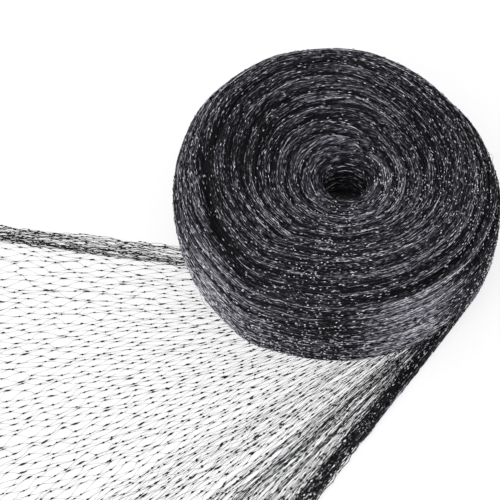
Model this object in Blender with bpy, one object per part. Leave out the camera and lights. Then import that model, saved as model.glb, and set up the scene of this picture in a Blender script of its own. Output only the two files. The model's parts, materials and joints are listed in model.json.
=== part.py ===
# Bird netting: a coreless wound roll lying on its end, and the loose end that fans out from it.
# Metres, +Z up. The origin is on the floor, in the middle of the whole thing's box. Points are
# worked out from the axis of the roll's outline, and both pieces are then placed on AXIS_PLACE.

import math
import random

import bmesh
import bpy
from mathutils import Vector

AXIS_PLACE = Vector((0.0956, 0.1510, 0.0))

# Wound roll
ROLL_RADIUS = 0.140
ROLL_HEIGHT = 0.092
WALL_TOP = 0.038        # the wall is widest here, and the shoulder starts
SHOULDER_WIDTH = 0.042  # from the widest place in to the crest
HOLE_RADIUS = 0.0175
HOLE_CENTRE = Vector((0.011, 0.0))
RIM_HEIGHT = 0.060      # the top sinks to here at the hole
RIM_ROUND = 0.006       # from the dish to the hole's wall
DISH_POWER = 1.3        # over 1, the dish is steeper near the crest
COLUMNS = 64
SHOULDER_ROWS = 12
DISH_ROWS = 26

# The wall draws in towards the floor, and the hole's wall runs down from its rounded rim.
WALL_STATIONS = (
    {"height": 0.0, "inset": 0.0055},
    {"height": 0.0015, "inset": 0.0040},
    {"height": 0.0170, "inset": 0.0012},
)
HOLE_STATIONS = (
    {"height": 0.0564, "extra": 0.0015},
    {"height": 0.0480, "extra": 0.0},
    {"height": 0.0, "extra": 0.0},
)

# The outline isn't round: each lobe adds amount * cos(count * (angle - peak)).
OUTLINE_LOBES = (
    {"count": 1, "amount": 0.0011, "peak": 90},
    {"count": 2, "amount": 0.0049, "peak": 109},
    {"count": 3, "amount": 0.0016, "peak": -16},
)

# Wraps: one raised turn for each pitch, wound in a spiral
WRAP_PITCH = 0.013
WRAP_HEIGHT = 0.0022
WRAP_STEP = 0.003       # the outermost wrap stands out this much where it leaves the roll
LEAVE_ANGLE = -30       # degrees, where the loose end leaves the roll
UNEVEN_HEIGHT = 0.0016

# Main fold: the groove between the outer wraps and the rest. Place is in degrees round the
# shoulder, 0 at the top of the wall and 90 at the crest.
FOLD_WIDTH = 10.0
FOLD_STATIONS = (
    {"angle": 0, "place": 48, "depth": 0.003},
    {"angle": 60, "place": 66, "depth": 0.002},
    {"angle": 110, "place": 84, "depth": 0.003},
    {"angle": 150, "place": 90, "depth": 0.006},
    {"angle": 187, "place": 80, "depth": 0.010},
    {"angle": 214, "place": 63, "depth": 0.011},
    {"angle": 240, "place": 51, "depth": 0.006},
    {"angle": 270, "place": 48, "depth": 0.004},
    {"angle": 300, "place": 41, "depth": 0.005},
    {"angle": 330, "place": 41, "depth": 0.004},
)

# Loose end: a fan between two straight outer edges, flat on the floor
NET_THICK = 0.0015
SEAT_GAP = 0.0003       # between the net and the roll that lies on it
NET_LENGTH = 0.450
NEAR_COLUMN = 0.075     # the meshes start this far along
UPPER_EDGE = {"start": Vector((0.120, -0.057)), "heading": 172.7}
RIGHT_EDGE = {"start": Vector((0.116, -0.073)), "heading": 236.6}
CROWDING = 1.3          # over 1, the strands lie closer towards the right edge
MESH_HALF = 0.025       # half a gap's length, at twice the real pitch
MESHES_ACROSS = 26
STRAND_WIDTH = 0.0024
LEAST_GAP = 0.0045
CLEAR_OF_ROLL = 0.004
WANDER = 0.0008         # how far a knot lies off its place
UPPER_BUNDLE = {"width": 0.015, "height": 0.0045}
RIGHT_BUNDLE = {"width": 0.018, "height": 0.0060}
BUNDLE_SHARE = 0.2      # of the fan's width, where it is too narrow for a full bundle
RIDGE_PLACES = (0.3, 0.7)
RIDGE_RISE = 0.030      # a bundle rises over this length, once clear of the roll

NETTING_BLACK = (0.012, 0.012, 0.015, 1.0)
SHEET_BLACK = (0.020, 0.020, 0.024, 1.0)


def clear_scene():
    for thing in list(bpy.data.objects):
        bpy.data.objects.remove(thing, do_unlink=True)


def netting_material(name, colour, roughness):
    material = bpy.data.materials.new(name)
    material.use_nodes = True
    shader = material.node_tree.nodes["Principled BSDF"]
    shader.inputs["Base Color"].default_value = colour
    shader.inputs["Roughness"].default_value = roughness
    shader.inputs["Metallic"].default_value = 0.0
    return material


def add_object(name, mesh_maker, material):
    mesh = bpy.data.meshes.new(name)
    shape = bmesh.new()
    mesh_maker(shape)
    bmesh.ops.recalc_face_normals(shape, faces=shape.faces)
    shape.to_mesh(mesh)
    shape.free()
    mesh.materials.append(material)
    thing = bpy.data.objects.new(name, mesh)
    thing.location = AXIS_PLACE
    bpy.context.scene.collection.objects.link(thing)
    return thing


def smooth_step(value):
    value = min(max(value, 0.0), 1.0)
    return value * value * (3 - 2 * value)


def heading_vector(degrees):
    return Vector((math.cos(math.radians(degrees)), math.sin(math.radians(degrees))))


# Roll

def outline_radius(angle):
    radius = ROLL_RADIUS
    for lobe in OUTLINE_LOBES:
        turn = angle - math.radians(lobe["peak"])
        radius += lobe["amount"] * math.cos(lobe["count"] * turn)
    # The outermost wrap thins from where it leaves the roll, once round.
    round_from_leaving = (math.degrees(angle) - LEAVE_ANGLE) % 360
    return radius + WRAP_STEP * (0.5 - round_from_leaving / 360)


def fold_at(angle):
    """The main fold's place and depth at an angle, smooth between the stations."""
    degrees = math.degrees(angle) % 360
    count = len(FOLD_STATIONS)
    for index, station in enumerate(FOLD_STATIONS):
        following = FOLD_STATIONS[(index + 1) % count]
        span = (following["angle"] - station["angle"]) % 360
        passed = (degrees - station["angle"]) % 360
        if passed < span:
            share = smooth_step(passed / span)
            place = station["place"] + share * (following["place"] - station["place"])
            depth = station["depth"] + share * (following["depth"] - station["depth"])
            return place, depth
    return FOLD_STATIONS[0]["place"], FOLD_STATIONS[0]["depth"]


def unevenness(angle, place):
    """A soft lumpiness from -1 to 1, the same each time."""
    slow = math.sin(3 * angle + 0.05 * place) * math.sin(0.045 * place + 1.1)
    quick = math.sin(7 * angle - 0.08 * place + 2.0) * math.cos(0.09 * place + 5 * angle)
    return 0.6 * slow + 0.4 * quick


def raise_wraps(point, angle, place, travelled):
    """Moves a point of the shoulder or dish out or in by the wraps, lumps and main fold."""
    lean = math.radians(min(place, 90.0))
    outward = Vector((math.cos(lean) * math.cos(angle), math.cos(lean) * math.sin(angle),
                      math.sin(lean)))
    turn = 2 * math.pi * travelled / WRAP_PITCH + angle
    wrap = WRAP_HEIGHT * math.sin(turn) * (0.75 + 0.25 * math.sin(2 * angle + 0.07 * place))
    lump = UNEVEN_HEIGHT * unevenness(angle, place)
    fold_place, fold_depth = fold_at(angle)
    fold = fold_depth * math.exp(-((place - fold_place) / FOLD_WIDTH) ** 2)
    start = smooth_step(place / 30.0)
    end = smooth_step((180.0 - place) / 12.0)
    return point + outward * ((wrap + lump) * start * end - fold)


def roll_column(angle):
    """The points of one cut through the roll, from the wall's foot over the top to the hole's."""
    radius = outline_radius(angle)
    ray = Vector((math.cos(angle), math.sin(angle)))

    def outer_point(inset, height):
        flat = ray * (radius - inset)
        return Vector((flat.x, flat.y, height))

    def hole_point(extra, height):
        flat = HOLE_CENTRE + ray * (HOLE_RADIUS + extra)
        return Vector((flat.x, flat.y, height))

    points = [outer_point(station["inset"], station["height"]) for station in WALL_STATIONS]
    travelled = 0.0
    last = outer_point(0.0, WALL_TOP)
    for row in range(SHOULDER_ROWS):
        place = 90.0 * row / SHOULDER_ROWS
        lean = math.radians(place)
        inset = SHOULDER_WIDTH * (1 - math.cos(lean))
        height = WALL_TOP + (ROLL_HEIGHT - WALL_TOP) * math.sin(lean)
        here = outer_point(inset, height)
        travelled += (here - last).length
        last = here
        points.append(raise_wraps(here, angle, place, travelled))
    crest = outer_point(SHOULDER_WIDTH, ROLL_HEIGHT)
    rim = hole_point(RIM_ROUND, RIM_HEIGHT)
    for row in range(DISH_ROWS + 1):
        share = row / DISH_ROWS
        here = crest.lerp(rim, share)
        here.z = RIM_HEIGHT + (ROLL_HEIGHT - RIM_HEIGHT) * (1 - share) ** DISH_POWER
        travelled += (here - last).length
        last = here
        points.append(raise_wraps(here, angle, 90.0 + 90.0 * share, travelled))
    points += [hole_point(station["extra"], station["height"]) for station in HOLE_STATIONS]
    return points


def make_roll(shape):
    columns = []
    for index in range(COLUMNS):
        angle = 2 * math.pi * index / COLUMNS
        columns.append([shape.verts.new(point) for point in roll_column(angle)])
    rows = len(columns[0])
    for index, column in enumerate(columns):
        beside = columns[(index + 1) % COLUMNS]
        for row in range(rows):
            above = (row + 1) % rows
            shape.faces.new((column[row], beside[row], beside[above], column[above]))


def make_seat_cutter(shape):
    """The shallow step under the roll where the loose end lies: all in front of its upper edge."""
    along = heading_vector(UPPER_EDGE["heading"])
    behind = Vector((along.y, -along.x))
    middle = UPPER_EDGE["start"] + along * NET_LENGTH / 3
    reach = 2 * ROLL_RADIUS
    clearance = 0.001
    below = -0.01
    corners = (
        middle - along * reach + behind * clearance,
        middle + along * reach + behind * clearance,
        middle + along * reach - behind * reach,
        middle - along * reach - behind * reach,
    )
    low = [shape.verts.new((corner.x, corner.y, below)) for corner in corners]
    high = [shape.verts.new((corner.x, corner.y, NET_THICK + SEAT_GAP)) for corner in corners]
    shape.faces.new(low)
    shape.faces.new(high)
    for index in range(4):
        after = (index + 1) % 4
        shape.faces.new((low[index], low[after], high[after], high[index]))


# Loose end

def fan_point(share, along):
    """A point of the fan: share 0 is its upper edge and 1 its right edge."""
    start = UPPER_EDGE["start"].lerp(RIGHT_EDGE["start"], share)
    spread = 1 - (1 - share) ** CROWDING
    turn = RIGHT_EDGE["heading"] - UPPER_EDGE["heading"]
    return start + heading_vector(UPPER_EDGE["heading"] + turn * spread) * along


def bundle_shares(along):
    """Where the two gathered edges end, as shares across the fan."""
    turn = math.radians(RIGHT_EDGE["heading"] - UPPER_EDGE["heading"])
    across = (RIGHT_EDGE["start"] - UPPER_EDGE["start"]).length + turn * along
    upper = min(UPPER_BUNDLE["width"] / (across * CROWDING), BUNDLE_SHARE)
    # Near the right edge the strands crowd, so a width there takes a larger share.
    right = min((RIGHT_BUNDLE["width"] / across) ** (1 / CROWDING), BUNDLE_SHARE)
    return upper, 1 - right


def lattice_point(column, row, rng):
    along = NEAR_COLUMN + column * MESH_HALF
    upper, right = bundle_shares(along)
    share = upper + (right - upper) * row / (2 * MESHES_ACROSS)
    flat = fan_point(share, along)
    return flat + Vector((rng.uniform(-WANDER, WANDER), rng.uniform(-WANDER, WANDER)))


def bundle_height(flat, full):
    """A bundle is as thin as the net under the roll, and rises once it is clear of it."""
    clear = flat.length - ROLL_RADIUS - MESH_HALF
    return NET_THICK + (full - NET_THICK) * smooth_step(clear / RIDGE_RISE)


class NetSheet:
    """Builds the flat sheet from knots that each have a top and a bottom point."""

    def __init__(self, shape):
        self.shape = shape
        self.top = {}
        self.bottom = {}

    def add_knot(self, key, flat, height=NET_THICK, has_bottom=True):
        self.top[key] = self.shape.verts.new((flat.x, flat.y, height))
        if has_bottom:
            self.bottom[key] = self.shape.verts.new((flat.x, flat.y, 0.0))

    def plain_face(self, keys):
        self.shape.faces.new([self.top[key] for key in keys])
        self.shape.faces.new([self.bottom[key] for key in reversed(keys)])

    def wall(self, first, second):
        self.shape.faces.new((self.top[first], self.bottom[first], self.bottom[second],
                              self.top[second]))

    def cut_face(self, keys, hole_flats):
        """A mesh with its gap: a rim of four strands on each side, and the gap's four walls."""
        count = len(keys)
        high = [self.shape.verts.new((flat.x, flat.y, NET_THICK)) for flat in hole_flats]
        low = [self.shape.verts.new((flat.x, flat.y, 0.0)) for flat in hole_flats]
        for index in range(count):
            after = (index + 1) % count
            here, there = keys[index], keys[after]
            self.shape.faces.new((self.top[here], self.top[there], high[after], high[index]))
            self.shape.faces.new((self.bottom[there], self.bottom[here], low[index], low[after]))
            self.shape.faces.new((high[index], high[after], low[after], low[index]))


def gap_corners(flats):
    """The corners of the gap in a mesh, or None where it is narrow or near the roll."""
    if min(flat.length for flat in flats) < ROLL_RADIUS + CLEAR_OF_ROLL:
        return None
    middle = (flats[0] + flats[1] + flats[2] + flats[3]) / 4
    half_long = (flats[2] - flats[0]).length / 2
    half_short = (flats[3] - flats[1]).length / 2
    to_side = half_long * half_short / math.hypot(half_long, half_short)
    shrink = 1 - STRAND_WIDTH / 2 / to_side
    if 2 * half_short * shrink < LEAST_GAP:
        return None
    return [middle + (flat - middle) * shrink for flat in flats]


def add_bundle(sheet, side, border_row, far_column):
    """A gathered edge: two ridge lines and the outer edge, beside the border of the meshes."""
    bundle = UPPER_BUNDLE if side == "upper" else RIGHT_BUNDLE
    edge_share = 0.0 if side == "upper" else 1.0
    for column in range(-1, far_column + 1):
        along = NEAR_COLUMN + column * MESH_HALF if column >= 0 else 0.0
        inner = sheet.top[column, border_row].co.xy
        outer = fan_point(edge_share, along)
        # The bundle is a little uneven along its length.
        full = bundle["height"] * (1 + 0.15 * math.sin(2.1 * column + 3 * edge_share))
        for ridge, place in enumerate(RIDGE_PLACES):
            flat = inner.lerp(outer, place)
            height = bundle_height(flat, full)
            sheet.add_knot((column, side, ridge), flat, height, has_bottom=False)
        sheet.add_knot((column, side, "edge"), outer)
    for column in range(-1, far_column):
        after = column + 1
        line = [(column, border_row), (column, side, 0), (column, side, 1), (column, side, "edge")]
        line_after = [(after, border_row), (after, side, 0), (after, side, 1),
                      (after, side, "edge")]
        for index in range(3):
            sheet.shape.faces.new([sheet.top[key] for key in (
                line[index], line_after[index], line_after[index + 1], line[index + 1])])
        sheet.shape.faces.new([sheet.bottom[key] for key in (
            line[0], line[3], line_after[3], line_after[0])])
        sheet.wall(line[3], line_after[3])
    for column in (-1, far_column):
        ends = [sheet.top[column, border_row], sheet.top[column, side, 0],
                sheet.top[column, side, 1], sheet.top[column, side, "edge"],
                sheet.bottom[column, side, "edge"], sheet.bottom[column, border_row]]
        sheet.shape.faces.new(ends)


def make_net(shape):
    rng = random.Random(11)
    sheet = NetSheet(shape)
    last_row = 2 * MESHES_ACROSS
    far_column = round((NET_LENGTH - NEAR_COLUMN) / MESH_HALF)

    # Knots stand at every second crossing, and at every column on the two borders.
    for column in range(far_column + 1):
        for row in range(last_row + 1):
            if (column + row) % 2 == 0 or row in (0, last_row):
                sheet.add_knot((column, row), lattice_point(column, row, rng))
    upper, right = bundle_shares(0.0)
    sheet.add_knot((-1, 0), fan_point(upper, 0.0))
    sheet.add_knot((-1, last_row), fan_point(right, 0.0))

    # The plain part from where the net leaves the roll to the first meshes
    near_knots = [(0, row) for row in range(0, last_row + 1, 2)]
    sheet.plain_face([(-1, 0)] + near_knots + [(-1, last_row)])
    sheet.wall((-1, 0), (-1, last_row))

    for column in range(far_column + 1):
        for row in range(last_row + 1):
            if (column + row) % 2 == 0:
                continue
            if row in (0, last_row):
                beside = 1 if row == 0 else last_row - 1
                for other in (column - 1, column + 1):
                    if 0 <= other <= far_column:
                        sheet.plain_face([(column, row), (other, row), (column, beside)])
            elif column == 0:
                sheet.plain_face([(0, row - 1), (1, row), (0, row + 1)])
            elif column == far_column:
                sheet.plain_face([(column, row - 1), (column - 1, row), (column, row + 1)])
                sheet.wall((column, row - 1), (column, row + 1))
            else:
                keys = [(column - 1, row), (column, row + 1), (column + 1, row),
                        (column, row - 1)]
                gap = gap_corners([sheet.top[key].co.xy for key in keys])
                if gap is None:
                    sheet.plain_face(keys)
                else:
                    sheet.cut_face(keys, gap)
    # At the far end a border knot off the crossings closes the corner beside it.
    for row, beside in ((0, 1), (last_row, last_row - 1)):
        if (far_column + row) % 2:
            sheet.wall((far_column, row), (far_column, beside))
    add_bundle(sheet, "upper", 0, far_column)
    add_bundle(sheet, "right", last_row, far_column)


def build():
    clear_scene()
    roll_black = netting_material("black_netting_wound", NETTING_BLACK, 0.55)
    sheet_black = netting_material("black_netting_single", SHEET_BLACK, 0.5)

    roll = add_object("roll", make_roll, roll_black)
    cutter = add_object("seat_cutter", make_seat_cutter, roll_black)
    cutter.hide_render = True
    cutter.display_type = "WIRE"
    seat = roll.modifiers.new("seat", "BOOLEAN")
    seat.operation = "DIFFERENCE"
    seat.solver = "EXACT"
    seat.object = cutter
    roll.data.shade_smooth()
    roll.data.set_sharp_from_angle(angle=math.radians(40))

    add_object("loose_net", make_net, sheet_black)


build()
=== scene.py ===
import json
import math

import bpy
import numpy as np
from mathutils import Matrix, Vector


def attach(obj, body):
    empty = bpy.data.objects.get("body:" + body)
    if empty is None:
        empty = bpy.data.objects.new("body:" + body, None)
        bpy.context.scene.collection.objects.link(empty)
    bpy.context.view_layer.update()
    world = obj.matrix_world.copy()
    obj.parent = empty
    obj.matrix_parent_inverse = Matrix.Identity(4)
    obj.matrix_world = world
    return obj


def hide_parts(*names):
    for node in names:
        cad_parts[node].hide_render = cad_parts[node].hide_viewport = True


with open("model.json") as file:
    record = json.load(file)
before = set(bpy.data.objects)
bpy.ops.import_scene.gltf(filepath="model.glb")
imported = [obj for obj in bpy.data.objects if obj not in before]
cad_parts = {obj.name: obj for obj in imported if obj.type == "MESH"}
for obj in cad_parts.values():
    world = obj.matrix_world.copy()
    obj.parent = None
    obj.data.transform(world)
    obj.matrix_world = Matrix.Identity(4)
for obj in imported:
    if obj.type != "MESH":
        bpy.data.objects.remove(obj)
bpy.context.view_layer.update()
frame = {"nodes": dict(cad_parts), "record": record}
print("packed model loaded:", ", ".join(sorted(frame["nodes"])))

# The roll's foot point lies 80 mm behind the axis that the netting is wound round.
footBehindAxis = 0.080
mounts = frame["record"]["mounts"]
footPoint = next(mount["pos_m"] for mount in mounts if mount["name"] == "roll_foot")
rollAxis = np.array([footPoint[0], footPoint[1] - footBehindAxis, 0.0])
fullTurn = 2 * math.pi
strandSides = 3  # a strand is a thin tube with this many sides
knotCorners = 4  # a knot is two rings of this many points, with a tip at either end
knotPoints = 2 * knotCorners + 2
knotRings = ((-0.35, 0.85), (0.20, 1.0))  # place along its half length, and share of its width
leastHeight = 0.0006  # m above the table, for the middle of a strand
upward = np.array([0, 0, 1.0])


# Small helpers

def hexColour(code):
    # sRGB hex to the linear values that a shader takes
    channels = [int(code[start:start + 2], 16) / 255 for start in (1, 3, 5)]
    linear = [c / 12.92 if c <= 0.04045 else ((c + 0.055) / 1.055) ** 2.4 for c in channels]
    return (*linear, 1.0)


def addNode(tree, kind, settings=None, values=None, links=None, stops=None):
    node = tree.nodes.new(kind)
    for name, value in (settings or {}).items():
        setattr(node, name, value)
    for socket, value in (values or {}).items():
        node.inputs[socket].default_value = value
    for socket, source in (links or {}).items():
        tree.links.new(source, node.inputs[socket])
    for index, (place, code) in enumerate(stops or ()):
        ramp = node.color_ramp.elements
        stop = ramp[index] if index < 2 else ramp.new(place)
        stop.position = place
        stop.color = hexColour(code)
    return node


def newMaterial(name, values):
    # values go on the shader's own sockets
    material = bpy.data.materials.new(name)
    material.use_nodes = True
    shader = material.node_tree.nodes["Principled BSDF"]
    for socket, value in values.items():
        shader.inputs[socket].default_value = value
    return material, material.node_tree, shader


def addObject(name, data):
    added = bpy.data.objects.new(name, data)
    bpy.context.scene.collection.objects.link(added)
    return added


def smoothStep(value):
    value = np.clip(value, 0.0, 1.0)
    return value * value * (3 - 2 * value)


def degreesFrom(angle, middle):
    # how far an angle is round from the middle, in degrees from -180 to 180
    return (np.degrees(angle) - middle + 180) % 360 - 180


def shareWithin(distance, limit):
    # 1 beyond the reach, and less within it, down to the least share
    reach, least = limit
    return np.clip(distance / reach, least, 1.0)


def unit(vectors):
    return vectors / np.maximum(np.linalg.norm(vectors, axis=-1, keepdims=True), 1e-12)


def wander(rng, distance, waves):
    # soft irregular waves along each strand: waves lists (shortest, longest, size) in metres
    total = np.zeros_like(distance)
    for shortest, longest, size in waves:
        shape = (len(distance), 1)
        length = rng.uniform(shortest, longest, shape)
        start = rng.uniform(0, fullTurn, shape)
        total += rng.uniform(0.4, 1.0, shape) * size * np.sin(fullTurn * distance / length + start)
    return total


def sweepStrands(paths, outward, radius):
    # closed thin tubes along paths (strand, point, xyz), with a radius for each point
    along = unit(np.gradient(paths, axis=1))
    side = unit(np.cross(along, outward))
    up = np.cross(side, along)
    turn = fullTurn * np.arange(strandSides) / strandSides + math.pi / 2
    ring = side[:, :, None] * np.cos(turn)[:, None] + up[:, :, None] * np.sin(turn)[:, None]
    points = paths[:, :, None] + ring * radius[:, :, None, None]
    index = np.arange(points[..., 0].size).reshape(points.shape[:3])
    beside = np.roll(index, -1, axis=2)
    walls = np.stack([index[:, :-1], index[:, 1:], beside[:, 1:], beside[:, :-1]], -1).reshape(-1, 4)
    ends = np.concatenate([index[:, 0], index[:, -1, ::-1]])
    return points.reshape(-1, 3), [walls, ends]


def sweepKnots(centres, along, outward, length, width):
    # each knot is a closed lump with a tail drawn out along the strand at either end
    along = unit(along)
    side = unit(np.cross(along, outward))
    up = np.cross(side, along)
    turn = fullTurn * np.arange(knotCorners) / knotCorners
    ring = side[:, None] * np.cos(turn)[:, None] + up[:, None] * np.sin(turn)[:, None]
    half = length[:, None] / 2
    rings = [
        (centres + along * half * place)[:, None] + ring * (width * swell / 2)[:, None, None]
        for place, swell in knotRings
    ]
    tips = [(centres + along * half * place)[:, None] for place in (-1.0, 1.0)]
    points = np.concatenate([tips[0], *rings, tips[1]], axis=1)
    base = knotPoints * np.arange(len(centres))[:, None]
    walls, ends = [], []
    for corner in range(knotCorners):
        low = 1 + corner
        lowNext = 1 + (corner + 1) % knotCorners
        high, highNext = low + knotCorners, lowNext + knotCorners
        walls.append(base + np.array([[low, high, highNext, lowNext]]))
        ends.append(base + np.array([[0, low, lowNext]]))
        ends.append(base + np.array([[knotPoints - 1, highNext, high]]))
    return points.reshape(-1, 3), [np.concatenate(walls), np.concatenate(ends)]


def makePiece(name, shapes, materials, attributes=None):
    # shapes lists (points, faces, tone, material index); tone is one value a point
    points, faces, tones, kinds, count = [], [], [], [], 0
    for shapePoints, shapeFaces, tone, kind in shapes:
        points.append(shapePoints)
        tones.append(tone)
        for group in shapeFaces:
            faces += (group + count).tolist()
            kinds += [kind] * len(group)
        count += len(shapePoints)
    mesh = bpy.data.meshes.new(name)
    mesh.from_pydata(np.concatenate(points).tolist(), [], faces)
    for material in materials:
        mesh.materials.append(material)
    mesh.polygons.foreach_set("material_index", kinds)
    held = mesh.attributes.new("tone", "FLOAT", "POINT")
    held.data.foreach_set("value", np.concatenate(tones).astype(np.float32))
    for attribute, values in (attributes or {}).items():
        held = mesh.attributes.new(attribute, "FLOAT_VECTOR", "POINT")
        held.data.foreach_set("vector", values.astype(np.float32).ravel())
    mesh.shade_smooth()
    mesh.update()
    triangles = sum(len(polygon.vertices) - 2 for polygon in mesh.polygons)
    print(f"{name}: {triangles} triangles")
    return addObject(name, mesh)


# Camera: the photograph looks down on the roll at about 52 degrees, with a long lens

cameraPlace = {
    "sightLine": 52.0,  # degrees down from the camera to the roll
    "distance": 1.400,  # m along that line
    "lookHeight": 0.045,  # m, where it meets the roll's axis
    "turn": 4.80,  # degrees to the left, so that the roll stands right of the middle
    "tilt": 53.80,  # degrees down
    "lean": -3.91,  # degrees about the lens
    "focalPixels": 1675.8,
    "imagePixels": 500,
    "sensor": 36.0,
}


def placeCamera(place):
    down = math.radians(place["sightLine"])
    sight = Vector((0, math.cos(down), -math.sin(down)))
    target = Vector(rollAxis) + Vector((0, 0, place["lookHeight"]))
    data = bpy.data.cameras.new("camera")
    data.sensor_width = place["sensor"]
    data.lens = place["focalPixels"] / place["imagePixels"] * place["sensor"]
    camera = addObject("camera", data)
    camera.matrix_world = (
        Matrix.Translation(target - sight * place["distance"])
        @ Matrix.Rotation(math.radians(place["turn"]), 4, "Z")
        @ Matrix.Rotation(math.radians(90 - place["tilt"]), 4, "X")
        @ Matrix.Rotation(math.radians(place["lean"]), 4, "Z"))
    bpy.context.scene.camera = camera


placeCamera(cameraPlace)
print("camera placed")


# Materials

strandLook = {
    "follows": "strand",  # the painted highlight dashes run along each strand, not through space
    "dash": 0.0054,  # m between painted highlight dashes: flat filament twists, and shows a shiny side about every 5 mm
    "dashShare": 1.45,  # how far the stretches change a strand's own tone
    "roughness": (0.30, 0.55),
    "sockets": {"IOR": 1.54, "Specular IOR Level": 0.20},  # low, as strands shade each other
    # the pale stops are painted highlights on the near black filament
    "stops": ((0.36, "#06050a"), (0.50, "#212028"), (0.66, "#8b8a94"), (0.84, "#e7e6ee")),
}


def extrudedPolyethylene(name, look):
    # High density polyethylene, melt extruded and stretched into thin flat filament. Carbon black
    # makes it near black. Its pale dashes are painted highlights, where the smooth skin catches light.
    material, tree, shader = newMaterial(name, look["sockets"])
    if look["follows"] == "strand":
        run = addNode(tree, "ShaderNodeAttribute", settings={"attribute_name": "run"})
        place = run.outputs["Vector"]
    else:
        place = addNode(tree, "ShaderNodeTexCoord").outputs["Object"]
    dashes = addNode(
        tree, "ShaderNodeTexNoise",
        values={"Scale": 1 / look["dash"], "Detail": 1.5, "Roughness": 0.6},
        links={"Vector": place})
    tone = addNode(tree, "ShaderNodeAttribute", settings={"attribute_name": "tone"})
    centred = addNode(
        tree, "ShaderNodeMath", settings={"operation": "SUBTRACT"},
        values={1: 0.5}, links={0: dashes.outputs["Fac"]})
    mixed = addNode(
        tree, "ShaderNodeMath", settings={"operation": "MULTIPLY_ADD"},
        values={1: look["dashShare"]}, links={0: centred.outputs[0], 2: tone.outputs["Fac"]})
    colour = addNode(
        tree, "ShaderNodeValToRGB", links={"Fac": mixed.outputs[0]}, stops=look["stops"])
    rough = addNode(
        tree, "ShaderNodeMapRange",
        values={"To Min": look["roughness"][0], "To Max": look["roughness"][1]},
        links={"Value": dashes.outputs["Fac"]})
    tree.links.new(colour.outputs["Color"], shader.inputs["Base Color"])
    tree.links.new(rough.outputs["Result"], shader.inputs["Roughness"])
    return material


packedLook = {
    "strandWidth": 0.0009,  # m: six times the real filament, which is too fine to show
    "bump": 0.0005,
    "sockets": {"IOR": 1.54, "Specular IOR Level": 0.08, "Roughness": 0.62},
    # the pale stops are the packed strands' painted sheen
    "stops": ((0.35, "#06050a"), (0.45, "#1d1c23"), (0.57, "#52515a"), (0.70, "#92919b")),
}


def packedPolyethylene(name, look):
    # The same filament where thousands of strands lie packed: it reads as dark cloth with long pale
    # streaks along the winding, the strands' painted sheen, plus the grid's painted light and shade.
    material, tree, shader = newMaterial(name, look["sockets"])
    streak = addNode(tree, "ShaderNodeAttribute", settings={"attribute_name": "streak"})
    strands = addNode(
        tree, "ShaderNodeTexNoise",
        values={"Scale": 1 / look["strandWidth"], "Detail": 3.0, "Roughness": 0.65},
        links={"Vector": streak.outputs["Vector"]})
    tone = addNode(tree, "ShaderNodeAttribute", settings={"attribute_name": "tone"})
    shaded = addNode(
        tree, "ShaderNodeMath", settings={"operation": "ADD"},
        links={0: strands.outputs["Fac"], 1: tone.outputs["Fac"]})
    colour = addNode(
        tree, "ShaderNodeValToRGB", links={"Fac": shaded.outputs[0]}, stops=look["stops"])
    raised = addNode(
        tree, "ShaderNodeBump",
        values={"Distance": look["bump"], "Strength": 1.0},
        links={"Height": strands.outputs["Fac"]})
    tree.links.new(colour.outputs["Color"], shader.inputs["Base Color"])
    tree.links.new(raised.outputs["Normal"], shader.inputs["Normal"])
    return material


strandMaterial = extrudedPolyethylene("extruded_polyethylene_strand", strandLook)
packedMaterial = packedPolyethylene("packed_polyethylene_windings", packedLook)
# Pulled into a knot, about 1.6 mm long, its bent skin flashes as a white point: a painted glint in the
# knot's colour.
paintedGlintMaterial = extrudedPolyethylene("knotted_polyethylene_painted_glint", {
    **strandLook, "follows": "place", "dash": 0.0016, "dashShare": 0.95,
    "stops": ((0.16, "#3a3a40"), (0.45, "#acacb4"), (0.72, "#f0f0f6"))})
# In one layer over a bright table it reads as a dark line, greyer where it is thinnest.
netMaterial = extrudedPolyethylene("extruded_polyethylene_net", {
    **strandLook, "dashShare": 1.0,
    "stops": ((0.50, "#111014"), (0.70, "#3b3744"), (0.92, "#a09aae"))})
print("materials made")


# Roll: one grid of points over the wound form, which its strands are then laid on

rollForm = {
    # sizes in m, and a place on the top counts 0 at the wall, 90 at the crest and 180 at the rim
    "radius": 0.1394, "height": 0.0912, "wallTop": 0.038, "shoulder": 0.042,
    "holeRadius": 0.0175, "holeAt": (0.0105, 0.0045), "rimHeight": 0.060, "rimRound": 0.006,
    "dishPower": 1.3,
    "lobes": ((1, 0.0011, 90), (2, 0.0054, 109), (3, 0.0016, -16)),  # count, m, peak degrees
    # degrees, m, reach in degrees
    "bumps": ((74, 0.0022, 14), (240, 0.0028, 9), (215, -0.0006, 12), (124, -0.0011, 10)),
    "wrapPitch": 0.013, "wrapHeight": 0.0022, "wrapStep": 0.003,
    "leaveAngle": -30.0, "leaveSpan": 45.0,  # degrees where the outermost wrap leaves, and ends
    "unevenHeight": 0.0016, "foldWidth": 10.0,
    # up the wall: height, and how far inside the outline
    "wallInsets": ((0.0, 0.0055), (0.0015, 0.0040), (0.0170, 0.0012), (0.038, 0.0)),
    # down the hole: height, and how much wider than its radius
    "holeSteps": ((0.0564, 0.0015), (0.0480, 0.0), (0.0300, 0.0), (0.0040, 0.0)),
    # the main fold round the roll: angle, place, depth
    "fold": ((0, 48, .003), (60, 66, .002), (110, 84, .003), (150, 84, .005), (180, 71, .008),
             (196, 66, .011), (215, 56, .010), (240, 49, .0038), (270, 48, .0016), (300, 41, .0044),
             (330, 41, .004)),
    "columns": 480, "wallRows": 38, "shoulderRows": 76, "dishRows": 80, "holeRows": 22,
}


rowsPerMetre = 1000  # the grid's rows are about 1 mm apart
crestPlace, rimPlace = 90.0, 180.0


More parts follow.
